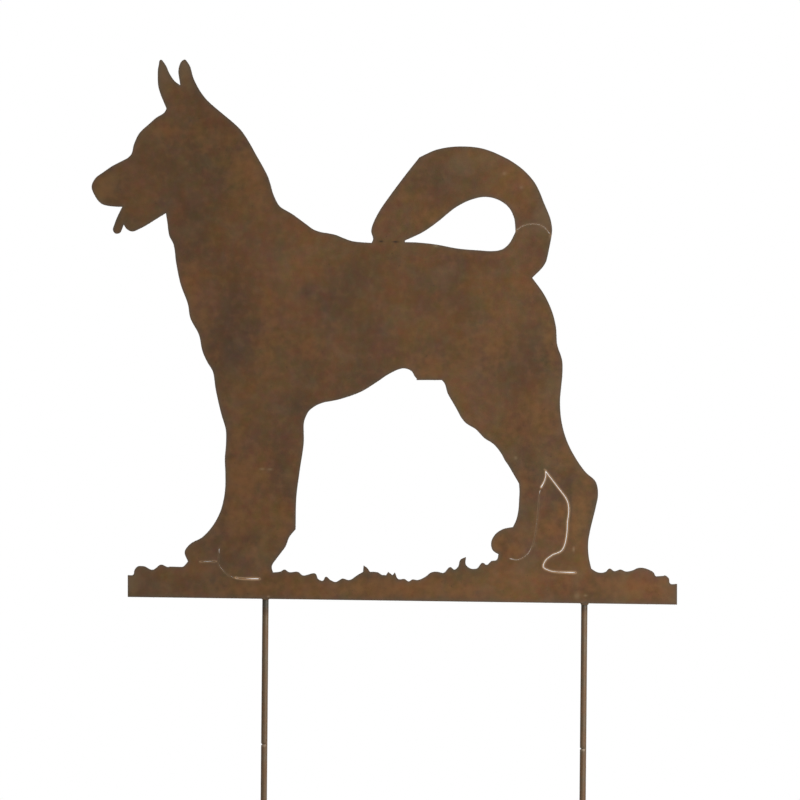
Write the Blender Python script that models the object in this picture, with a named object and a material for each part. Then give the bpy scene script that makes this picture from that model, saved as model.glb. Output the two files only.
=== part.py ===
# Garden dog: one flat steel sheet cut to a dog's silhouette on a ground strip with grass,
# held up by two round stakes behind the strip.
# Metres, +Z up. The dog looks towards -X, and the sheet's front face looks towards -Y.
# The origin is the middle of the strip's underside, where the sheet meets the soil.

import math

import bmesh
import bpy
from mathutils import Matrix, Vector
from mathutils.geometry import delaunay_2d_cdt

# Sheet
STRIP_LENGTH = 0.550
SHEET_THICKNESS = 0.002

# Cuts right through the sheet, which draw the far legs and the curl of the tail
WIDE_CUT = 0.0013
FINE_CUT = 0.0004

# Stakes: a rod welded behind the strip, and a pointed spike that plugs into its lower end
ROD_DIAMETER = 0.00635
LEFT_ROD_INSET = 0.1378         # rod's centre line from the strip's left end
RIGHT_ROD_INSET = 0.0926        # rod's centre line from the strip's right end
ROD_OVERLAP = 0.017             # how far the rod runs up behind the strip
ROD_REACH = 0.145               # from the strip's underside down to the joint
SPIKE_LENGTH = 0.150            # from the joint down to the tip
POINT_LENGTH = 0.022
TIP_DIAMETER = 0.0012
JOINT_CHAMFER = 0.0007
SOCKET_WALL = 0.0015            # left round the socket in the rod's lower end
PLUG_LENGTH = 0.010
PLUG_CLEARANCE = 0.00015        # round the plug
PLUG_END_CLEARANCE = 0.0010     # past the plug's end
STAKE_LEAN = math.radians(0.3)  # both feet stand off a little to +X

# Welds
WELD_LEG = 0.0014               # how far the bead spreads beside the rod
WELD_RUN_OUT = 0.0035           # how far it runs down the rod below the strip
WELD_SHOULDER = math.radians(10)    # the bead meets the rod this far in front of its widest line

# Touching pieces are drawn this far apart
TOUCHING_GAP = 0.0003

# Fineness
ROUND_SIDES = 24
CURVE_STEP = math.radians(7)    # a curve turns about this much from one point to the next
SAME_POINT = 1e-7

# The figure is drawn on a grid with u to the right and v down, about a millimetre a unit.
# These are the two ends of the strip's underside on that grid.
GRID_LEFT = Vector((127.7, 597.0))
GRID_RIGHT = Vector((677.1, 604.7))

# The outline goes round from the strip's left end. Each stretch is a smooth curve through its
# points, or straight runs from point to point, and a corner stands where two stretches meet.
CURVE = "curve"
STRAIGHT = "straight"

OUTLINE = [
    ("left end of the strip", STRAIGHT, [(127.7, 597), (127.7, 575.3)]),
    ("grass in front of the paw", CURVE, [
        (127.7, 575.3), (133.4, 574.4), (134.3, 570.5), (137.2, 566.7), (143, 566.1), (153.5, 569.6),
        (156.3, 567.7), (160.2, 564.8), (167.8, 567.1), (183.1, 566.7), (187.9, 561.5)]),
    ("front paw and foreleg", CURVE, [
        (187.9, 561.5), (184.7, 551.4), (188.9, 545.1), (202.3, 537.1), (212.8, 525.6), (221.4, 508.4),
        (225.2, 487.3), (224.8, 458.6), (225.8, 429.9), (221.4, 414.6), (215.7, 389.7), (212.8, 371.6)]),
    ("chest", CURVE, [(212.8, 371.6), (203.2, 353.4), (200.6, 337.5), (190.1, 315.5), (187.8, 304)]),
    ("throat", CURVE, [
        (187.8, 304), (180.5, 283.9), (175.7, 260), (173.3, 243.8), (169.4, 236.1), (167.5, 223.7),
        (165.8, 213.1)]),
    ("jaw", CURVE, [
        (165.8, 213.1), (151.8, 221.8), (140.4, 228.4), (130.8, 231.3), (126, 228.4), (123.7, 224.6)]),
    ("tongue", CURVE, [
        (123.7, 224.6), (122.2, 228.4), (119.7, 232.9), (114.8, 233.2), (113, 230.4), (114.4, 224.2),
        (117.6, 216), (122.2, 206.8)]),
    ("muzzle", CURVE, [
        (122.2, 206.8), (109.7, 206.1), (102.1, 204.1), (94.4, 195), (91.6, 186.4), (95.4, 178.1),
        (102.9, 172.4), (111.7, 166.3), (127.9, 157.7)]),
    ("forehead", CURVE, [
        (127.9, 157.7), (130.8, 154.8), (133.9, 144.3), (139.6, 132.8), (147.6, 125.2), (156, 117.8),
        (165.2, 111.2), (166.4, 108.5)]),
    ("left ear", CURVE, [
        (166.4, 108.5), (161.8, 97.4), (158.4, 86.9), (157.7, 76), (158.6, 65.3), (160.8, 59.7), (164.3, 63),
        (170, 74.4), (175.4, 81.7), (180.1, 85)]),
    ("right ear", CURVE, [
        (180.1, 85), (179, 66.8), (181.5, 61.4), (184.7, 59.5), (187.8, 62.6), (193.9, 79.2),
        (200.6, 91.7), (207.3, 100.3)]),
    ("nape", CURVE, [
        (207.3, 100.3), (222.6, 113.7), (240.8, 129.9), (255.1, 152.9), (267.6, 175.8), (276.2, 200.7),
        (280, 206.4)]),
    ("back", CURVE, [
        (280, 206.4), (292.4, 214.1), (306.8, 224.6), (313.5, 229.4), (335.5, 234.8), (351.5, 240.9),
        (371.6, 242.8)]),
    ("tail, up from its tip", CURVE, [
        (371.6, 242.8), (372.9, 240.1), (371.2, 231), (374.4, 220.4), (385.9, 201.3), (405, 175.5),
        (419.4, 157.3)]),
    ("tail, over and down to the rump", CURVE, [
        (419.4, 157.3), (433.7, 150.6), (447.1, 147.4), (462.4, 146.4), (481.6, 148.3), (500.7, 155.4),
        (519.8, 166.9), (535.1, 183.1), (543.8, 202.3), (552, 227.1), (552, 232.9)]),
    ("root of the tail", CURVE, [(552, 232.9), (548.5, 252), (545.7, 262.5), (532.3, 277.8)]),
    ("rump and hind leg", CURVE, [
        (532.3, 277.8), (542.8, 292.2), (552.4, 312.3), (556.2, 328.5), (557.1, 343.8), (562.3, 361.1),
        (562.3, 376.4), (560.1, 399.3), (561.1, 418.4), (566.4, 439.5), (576, 458.6), (585.6, 472),
        (596.1, 482.5), (598, 491.1), (595.1, 510.3), (590.4, 529.4), (588.4, 540.9), (589, 558.1),
        (591.3, 568.6)]),
    ("grass behind the dog", CURVE, [
        (591.3, 568.6), (598, 572.4), (605.7, 571.9), (609.5, 568.6), (614.3, 571.1), (621, 569.6),
        (625.7, 571.5), (632.4, 570.5), (638.2, 568), (648.7, 569.6), (653.5, 572.4), (656.4, 577.2),
        (665.9, 575.7), (668.8, 578.2), (670.1, 583.4), (677.1, 583.9)]),
    ("right end of the strip", STRAIGHT, [(677.1, 583.9), (677.1, 604.7)]),
    ("underside of the strip", STRAIGHT, [(677.1, 604.7), (127.7, 597)]),
]

BELLY_GAP = [
    ("belly", CURVE, [
        (304, 422.3), (308.4, 411.7), (317.1, 405), (338.1, 399.7), (362.5, 391), (378.3, 381.1),
        (395.5, 370.6), (404, 368.4), (410.8, 370.6), (416.5, 378.3), (419.4, 379.8), (441.4, 379.6)]),
    ("thigh and hock", CURVE, [
        (441.4, 379.6), (443.7, 382.1), (447.8, 393.6), (455.5, 407), (465, 422.3), (476.5, 429.9),
        (484.2, 438), (493.7, 444.3), (501.4, 453.8), (509, 468.2), (517.7, 480.6), (519.6, 487.3),
        (518.6, 508.4), (516.3, 519.8), (512.9, 527.1)]),
    ("hind paw", CURVE, [
        (512.9, 527.1), (503.3, 529), (494.7, 535.1), (491.1, 543.8), (492.8, 550.4), (498.5, 554.3)]),
    ("grass, back from the hind paw", CURVE, [
        (498.5, 554.3), (496.6, 560), (491.8, 561), (486.1, 564.8), (483.2, 562.9), (476.5, 568.6),
        (470.8, 568.6), (466, 564.8), (466, 557.1)]),
    ("grass under the belly", CURVE, [
        (466, 557.1), (460.9, 559.4), (457.4, 567.7), (454.5, 569.6), (450.8, 567.2), (443, 573),
        (438.3, 571.9), (431.4, 572.4), (425.6, 576.6), (417.2, 580.1), (412.5, 579.5), (408.6, 581.4),
        (404.8, 579.1), (398.4, 579.1), (394.9, 572.4)]),
    ("tufts under the belly", STRAIGHT, [
        (394.9, 572.4), (392.5, 575.3), (388.2, 571.9), (386, 575.3), (382, 575), (378, 572.4),
        (373.5, 571.8), (369.9, 572), (367.6, 568.4), (363.6, 565.4), (363, 571.9)]),
    ("grass, on to the front paw", CURVE, [
        (363, 571.9), (357.2, 575.3), (348.6, 580.1), (342.9, 578.6), (335.2, 582), (330.4, 580.1),
        (325.7, 576.8), (322.8, 580.7), (318, 578.8), (316.1, 574.4), (301.7, 574.9), (298.9, 572.4),
        (288.4, 571.9), (284.5, 569.6), (280.7, 571.5), (273.1, 572.4)]),
    ("back of the front paw", CURVE, [
        (273.1, 572.4), (271.7, 567.7), (276.9, 558.1), (285.5, 546.6), (289.3, 537.1), (295.6, 529.4)]),
    ("back of the foreleg", CURVE, [
        (295.6, 529.4), (296.4, 496.9), (299.8, 470.1), (303.7, 443.3), (304, 422.3)]),
]

TAIL_LOOP = [
    ("under the curl", CURVE, [
        (405, 240.5), (423.2, 231.9), (439.5, 220.4), (454.8, 208), (472, 199.4), (484.4, 196.9),
        (498.8, 200), (509.3, 208), (514.5, 219.5), (515.4, 231.9)]),
    ("above the back", CURVE, [
        (515.4, 231.9), (508.4, 244.4), (502.6, 249.1), (496.9, 250.7), (481.6, 250.5), (458.6, 248.6),
        (435.7, 244.4), (416.5, 242.4), (405, 242.1)]),
    ("point of the loop", STRAIGHT, [(405, 242.1), (405, 240.5)]),
]

# Each cut follows smooth stretches of line, with a corner where two stretches meet.
CUTS = [
    ("far hind leg, hock and back", WIDE_CUT, [
        [(541, 487.6), (544.2, 481.8), (545.8, 476.2), (545.9, 471.4)],
        [(545.9, 471.4), (558.8, 488.3), (567.9, 502.4), (568.9, 508.4), (567.6, 522), (565.6, 542),
         (562, 550.3), (552, 555.3), (544.8, 561.8), (543.4, 566.6), (549, 570.4), (558, 572),
         (575.8, 572.7)]]),
    ("far hind leg, front", FINE_CUT, [
        [(540.2, 490), (539.2, 496), (537.9, 514), (535.3, 534), (531, 549), (526.5, 555), (517, 559.8),
         (510, 558.6)]]),
    ("front paw, toe", FINE_CUT, [[(199.8, 561.7), (216.4, 561.3)]]),
    ("front paw, heel", FINE_CUT, [
        [(219.2, 548.4), (218.9, 554.1), (219.5, 565.6), (223.4, 570.7), (228.5, 575.2), (233, 577.2)]]),
    ("front paw, sole", WIDE_CUT, [[(235.6, 577.7), (241, 578.5), (259.6, 578.8)]]),
    ("curl of the tail", FINE_CUT, [
        [(517.4, 229.4), (521.8, 226.4), (531.3, 224), (538.6, 224.4), (545, 228), (549.8, 233.4)]]),
]


def on_sheet(point):
    """A grid point in metres on the sheet's middle plane, with the strip's underside level."""
    along = (GRID_RIGHT - GRID_LEFT).normalized()
    below = Vector((-along.y, along.x))
    offset = Vector(point) - (GRID_LEFT + GRID_RIGHT) / 2
    metre = STRIP_LENGTH / (GRID_RIGHT - GRID_LEFT).length
    return Vector((offset.dot(along), -offset.dot(below))) * metre


def smooth_line(knots):
    """Points along a smooth curve through the knots, closer together where it bends more."""
    count = len(knots)
    slopes = []
    for i, knot in enumerate(knots):
        before = knots[max(i - 1, 0)]
        after = knots[min(i + 1, count - 1)]
        slope = Vector((0.0, 0.0))
        if i > 0:
            slope += (knot - before).normalized() / (knot - before).length
        if i < count - 1:
            slope += (after - knot).normalized() / (after - knot).length
        slopes.append(slope.normalized())
    points = [knots[0]]
    for i in range(count - 1):
        start, end = knots[i], knots[i + 1]
        length = (end - start).length
        turn = (slopes[i].angle(end - start) + slopes[i + 1].angle(end - start))
        pieces = max(1, math.ceil(turn / CURVE_STEP))
        for k in range(1, pieces + 1):
            t = k / pieces
            points.append(
                start * (2 * t**3 - 3 * t**2 + 1) + slopes[i] * length * (t**3 - 2 * t**2 + t)
                + end * (3 * t**2 - 2 * t**3) + slopes[i + 1] * length * (t**3 - t**2))
    return points


def closed_outline(stretches):
    """One closed loop of points on the sheet from its named stretches."""
    loop = []
    for _name, kind, grid_points in stretches:
        knots = [on_sheet(p) for p in grid_points]
        points = smooth_line(knots) if kind == CURVE else knots
        loop.extend(points[:-1])
    return loop


def cut_outline(width, stretches):
    """The thin closed loop that a cut of this width leaves, round at both ends."""
    line = []
    for grid_points in stretches:
        line = line[:-1] + smooth_line([on_sheet(p) for p in grid_points])
    left, right = [], []
    for i, point in enumerate(line):
        arriving = (point - line[i - 1] if i > 0 else line[1] - point).normalized()
        leaving = (line[i + 1] - point if i < len(line) - 1 else point - line[i - 1]).normalized()
        ahead = (arriving + leaving).normalized()
        side = Vector((-ahead.y, ahead.x)) * width / 2 / ahead.dot(leaving)
        left.append(point + side)
        right.append(point - side)
    first_tip = line[0] + (line[0] - line[1]).normalized() * width / 2
    last_tip = line[-1] + (line[-1] - line[-2]).normalized() * width / 2
    return [first_tip] + left + [last_tip] + right[::-1]


def material(name, colour, roughness, metallic):
    """A plain finish: sRGB colour out of 255."""
    linear = [c / 255 / 12.92 if c < 10.3 else ((c / 255 + 0.055) / 1.055) ** 2.4 for c in colour]
    finish = bpy.data.materials.new(name)
    finish.use_nodes = True
    shader = finish.node_tree.nodes["Principled BSDF"]
    shader.inputs["Base Color"].default_value = (*linear, 1.0)
    shader.inputs["Roughness"].default_value = roughness
    shader.inputs["Metallic"].default_value = metallic
    finish.diffuse_color = (*linear, 1.0)
    return finish


def add_object(name, bm, finish):
    mesh = bpy.data.meshes.new(name)
    bmesh.ops.recalc_face_normals(bm, faces=bm.faces)
    bm.to_mesh(mesh)
    bm.free()
    mesh.materials.append(finish)
    obj = bpy.data.objects.new(name, mesh)
    bpy.context.scene.collection.objects.link(obj)
    return obj


def dog_sheet(finish):
    """The dog, its grass and its ground strip, cut from one sheet."""
    loops = [closed_outline(OUTLINE), closed_outline(BELLY_GAP), closed_outline(TAIL_LOOP)]
    loops += [cut_outline(width, stretches) for _name, width, stretches in CUTS]
    points, rims = [], []
    for loop in loops:
        rims.append(list(range(len(points), len(points) + len(loop))))
        points.extend(loop)
    leave_holes_open = 2
    flat, _, faces, _, _, _ = delaunay_2d_cdt(points, [], rims, leave_holes_open, SAME_POINT)

    bm = bmesh.new()
    front = [bm.verts.new((p.x, -SHEET_THICKNESS / 2, p.y)) for p in flat]
    for face in faces:
        bm.faces.new([front[i] for i in face])
    back = bmesh.ops.extrude_face_region(bm, geom=bm.faces[:])["geom"]
    back = [item for item in back if isinstance(item, bmesh.types.BMVert)]
    bmesh.ops.translate(bm, verts=back, vec=(0, SHEET_THICKNESS, 0))
    return add_object("dog_silhouette_sheet", bm, finish)


def round_body(name, rings, finish):
    """A closed body through rings of equal point count, with a flat cap at each end."""
    bm = bmesh.new()
    rows = [[bm.verts.new(point) for point in points] for points in rings]
    for upper, lower in zip(rows, rows[1:]):
        for i in range(ROUND_SIDES):
            j = (i + 1) % ROUND_SIDES
            bm.faces.new((upper[i], upper[j], lower[j], lower[i]))
    bm.faces.new(rows[0])
    bm.faces.new(rows[-1])
    obj = add_object(name, bm, finish)
    obj.data.shade_smooth()
    obj.data.set_sharp_from_angle(angle=math.radians(30))
    return obj


def ring(radius, height):
    angles = [2 * math.pi * i / ROUND_SIDES for i in range(ROUND_SIDES)]
    return [Vector((radius * math.cos(a), radius * math.sin(a), height)) for a in angles]


def welded_ring(leg, height):
    """The rod's section with a weld bead on each side, flat against the sheet in front of it."""
    radius = ROD_DIAMETER / 2
    bead_angle = math.pi / 2 - WELD_SHOULDER
    top = Vector((radius * math.sin(bead_angle), -radius * math.cos(bead_angle)))
    run = Vector((radius + leg, -radius)) - top
    points = []
    for point in ring(radius, height):
        from_front = Vector((point.x, point.y)).angle(Vector((0, -1)))
        if from_front < bead_angle:
            ray = Vector((math.sin(from_front), -math.cos(from_front)))
            to_slope = (top.x * run.y - top.y * run.x) / (ray.x * run.y - ray.y * run.x)
            to_sheet = radius / -ray.y
            reach = max(radius, min(to_slope, to_sheet)) / radius
            point = Vector((point.x * reach, point.y * reach, height))
        points.append(point)
    return points


def place_stake(obj, strip_x):
    """Turns a stake piece drawn about its own axis, and sets it behind the strip's underside."""
    lean = Matrix.Rotation(-STAKE_LEAN, 4, "Y")
    behind = SHEET_THICKNESS / 2 + TOUCHING_GAP + ROD_DIAMETER / 2
    obj.data.transform(Matrix.Translation((strip_x, behind, 0)) @ lean)


def stake_rod(name, strip_x, finish):
    """The rod behind the strip, its two weld beads, and the socket in its lower end."""
    radius = ROD_DIAMETER / 2
    socket = radius - SOCKET_WALL
    foot = TOUCHING_GAP / 2 - ROD_REACH
    rod = round_body(name, [
        ring(radius, ROD_OVERLAP),
        ring(radius, ROD_OVERLAP - WELD_LEG),
        welded_ring(WELD_LEG, ROD_OVERLAP - 2 * WELD_LEG),
        welded_ring(WELD_LEG, 0),
        welded_ring(WELD_LEG / 2, -WELD_RUN_OUT / 2),
        ring(radius, -WELD_RUN_OUT),
        ring(radius, foot + JOINT_CHAMFER),
        ring(radius - JOINT_CHAMFER, foot),
        ring(socket, foot),
        ring(socket, foot + PLUG_LENGTH + PLUG_END_CLEARANCE),
    ], finish)
    place_stake(rod, strip_x)


def ground_spike(name, strip_x, finish):
    """The lower half of a stake: a plug that fills the rod's socket, a plain rod and a point."""
    radius = ROD_DIAMETER / 2
    plug = radius - SOCKET_WALL - PLUG_CLEARANCE
    shoulder = -ROD_REACH - TOUCHING_GAP / 2
    tip = shoulder - SPIKE_LENGTH
    spike = round_body(name, [
        ring(plug, shoulder + PLUG_LENGTH),
        ring(plug, shoulder),
        ring(radius - JOINT_CHAMFER, shoulder),
        ring(radius, shoulder - JOINT_CHAMFER),
        ring(radius, tip + POINT_LENGTH),
        ring(TIP_DIAMETER / 2, tip),
    ], finish)
    place_stake(spike, strip_x)


def build():
    for obj in list(bpy.data.objects):
        bpy.data.objects.remove(obj, do_unlink=True)
    rusted_sheet = material("rusted sheet steel", (99, 74, 52), 0.75, 0.2)
    rusted_rod = material("rusted steel rod", (110, 91, 71), 0.65, 0.3)
    dog_sheet(rusted_sheet)
    left_x = LEFT_ROD_INSET - STRIP_LENGTH / 2
    right_x = STRIP_LENGTH / 2 - RIGHT_ROD_INSET
    for side, strip_x in (("left", left_x), ("right", right_x)):
        stake_rod(side + "_stake_rod", strip_x, rusted_rod)
        ground_spike(side + "_ground_spike", strip_x, rusted_rod)


build()
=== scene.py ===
import math

import bmesh
import bpy
import numpy as np
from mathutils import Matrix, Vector, noise
from mathutils.geometry import delaunay_2d_cdt
from mathutils.kdtree import KDTree


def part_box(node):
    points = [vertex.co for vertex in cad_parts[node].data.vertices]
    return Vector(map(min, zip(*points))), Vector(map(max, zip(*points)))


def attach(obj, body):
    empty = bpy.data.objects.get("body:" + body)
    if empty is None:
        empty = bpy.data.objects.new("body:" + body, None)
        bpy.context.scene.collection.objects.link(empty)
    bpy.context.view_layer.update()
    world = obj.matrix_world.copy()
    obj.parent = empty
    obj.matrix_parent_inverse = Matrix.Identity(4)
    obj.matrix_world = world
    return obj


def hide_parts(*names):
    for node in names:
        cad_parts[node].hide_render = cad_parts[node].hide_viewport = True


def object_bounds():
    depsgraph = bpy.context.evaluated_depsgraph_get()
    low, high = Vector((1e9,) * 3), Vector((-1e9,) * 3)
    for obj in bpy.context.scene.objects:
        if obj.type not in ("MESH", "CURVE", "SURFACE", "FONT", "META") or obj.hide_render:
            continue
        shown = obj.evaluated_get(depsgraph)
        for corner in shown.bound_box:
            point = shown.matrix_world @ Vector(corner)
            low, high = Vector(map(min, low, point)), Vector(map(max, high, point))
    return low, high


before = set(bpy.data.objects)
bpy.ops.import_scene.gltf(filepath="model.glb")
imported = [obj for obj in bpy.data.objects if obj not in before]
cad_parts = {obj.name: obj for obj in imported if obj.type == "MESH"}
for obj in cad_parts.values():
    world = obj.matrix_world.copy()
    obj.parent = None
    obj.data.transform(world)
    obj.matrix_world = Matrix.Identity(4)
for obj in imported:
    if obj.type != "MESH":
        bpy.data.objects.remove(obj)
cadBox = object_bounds()
mm = 0.001
print("frame loaded:", sorted(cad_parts))


# The photograph shows the front face square on. Its strip's underside runs from one of these
# pixels to the other, which gives the scale and the slight tilt.
photo = {
    "side": 800,
    "stripLeft": (127.7, 597.0),
    "stripRight": (677.1, 604.7),
    "cameraDistance": 4.0,
    "sensor": 36.0,
}

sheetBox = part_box("dog_silhouette_sheet")
stripVerts = [v.co.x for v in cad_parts["dog_silhouette_sheet"].data.vertices if v.co.z < 0.1 * mm]
stripEnds = (min(stripVerts), max(stripVerts))
photoLeft = Vector(photo["stripLeft"])
photoRight = Vector(photo["stripRight"])
photoAlong = (photoRight - photoLeft).normalized()
photoBelow = Vector((-photoAlong.y, photoAlong.x))
pixel = (stripEnds[1] - stripEnds[0]) / (photoRight - photoLeft).length
photoTilt = math.atan2(photoAlong.y, photoAlong.x)


def fromPhoto(u, v):
    # A pixel of the photograph as a point (x, z) of the sheet.
    offset = Vector((u, v)) - (photoLeft + photoRight) / 2
    return Vector((offset.dot(photoAlong), -offset.dot(photoBelow))) * pixel


# Small tools

def linear(hexColour):
    channels = [int(hexColour[i:i + 2], 16) / 255 for i in (1, 3, 5)]
    return (*[c / 12.92 if c <= 0.04045 else ((c + 0.055) / 1.055) ** 2.4 for c in channels], 1.0)


def perMetre(size):
    # Texture scale at which a pattern's features are about this wide, in millimetres.
    return 1000 / size


def join(tree, node, links):
    # Sets each socket to a value, or joins another node's socket or first output in use to it.
    for socket, source in links.items():
        if isinstance(source, bpy.types.Node):
            source = next(output for output in source.outputs if output.enabled)
        if isinstance(source, bpy.types.NodeSocket):
            tree.links.new(source, node.inputs[socket])
        else:
            node.inputs[socket].default_value = source


def add(tree, kind, links=None, **settings):
    # Adds a node with its settings and links.
    made = tree.nodes.new(kind)
    for name, value in settings.items():
        setattr(made, name, value)
    join(tree, made, links or {})
    return made


def newMaterial(name):
    made = bpy.data.materials.new(name)
    made.use_nodes = True
    shader = made.node_tree.nodes["Principled BSDF"]
    return made, made.node_tree, shader


def newObject(name, mesh):
    made = bpy.data.objects.new(name, mesh)
    bpy.context.scene.collection.objects.link(made)
    return made


noiseLow, noiseHigh = 0.3, 0.7      # nearly all values of a noise texture lie between these


# Rusted sheet steel: hot-rolled sheet left to weather. The eye gets a flat, matt brown with soft
# darker grey-brown clouds, orange-brown blooms and a fine grain, and no mirror shine anywhere.
sheetRust = {
    "brown": "#583F25",
    "warmBrown": "#614426",
    "coolToWarm": ("#99BCFC", "#E0BC60"),   # mid-grey in linear light, so that they only turn the hue
    "oliveToPlum": ("#A4CCA4", "#CCA6CC"),
    "warmFrom": (0.35, 0.65),       # values of the broad pattern between which the brown gets warmer
    "darkCloud": "#D2D9F0",         # a tint: what a dark cloud leaves of the brown
    "paleRust": "#705C43",
    "bloom": "#764E27",
    # rim: painted shade, a darker band along every cut edge
    "rim": "#4C463C",
    "cutWall": "#50402F",
    # lip: painted highlight, the light line along the edges of the narrow cuts
    "lip": "#B4926F",
    "heatGrey": "#66563E",
    "lightSpeck": "#A08A6C",
    "pit": "#2E2219",
    # Size in mm, detail, roughness, distortion, then how far the pattern tints the brown and how
    # much of that runs from cool to warm and from olive to plum
    "patterns": {
        "broad": (80, 2.0, 0.50, 0.0, 0.40, 0.30, 0.12),
        "blotch": (26, 3.0, 0.50, 0.5, 0.70, 0.42, 0.30),
        "mottle": (8, 3.0, 0.50, 0.0, 0.52, 0.42, 0.52),
        "grain": (1.8, 3.0, 0.65, 0.0, 0.26, 0.40, 0.55),
        "fine": (0.5, 4.0, 0.70, 0.0, 0.96, 0.30, 0.45)},
    # Soft fields: field, the pattern that breaks it up, start, strength, colour, blend
    "softFields": (
        ("cloud", "blotch", 0.70, 0.95, "darkCloud", "MULTIPLY"),
        ("pale", "blotch", 0.80, 0.60, "paleRust", "MIX"),
        ("bloom", "mottle", 0.80, 0.62, "bloom", "MIX")),
    "fieldBreak": 1.5,      # how much the pattern counts beside the field
    "fieldFull": 1.95,      # where their sum gives the full strength
    "rimStrength": 0.65,
    "wallStrength": 0.8,
    "lipBreak": (0.3, 1.7),
    "pitSpacing": 7,        # millimetres
    "pitRadius": 0.45,
    "pitStrength": 0.7,
    "dragSpacing": 0.9,     # lines that the cutting flame leaves across the edge
    "dragLength": 4.0,
    "dragDepth": 0.12,
    "reliefDepth": 0.14,
    "reliefShares": {"mottle": 0.6, "grain": 0.6, "fine": 1.0, "pits": -0.8},
    "roughness": (0.80, 0.93),
    "specular": 0.3,        # rust is porous, so it gives back less than a smooth skin would
}


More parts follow.
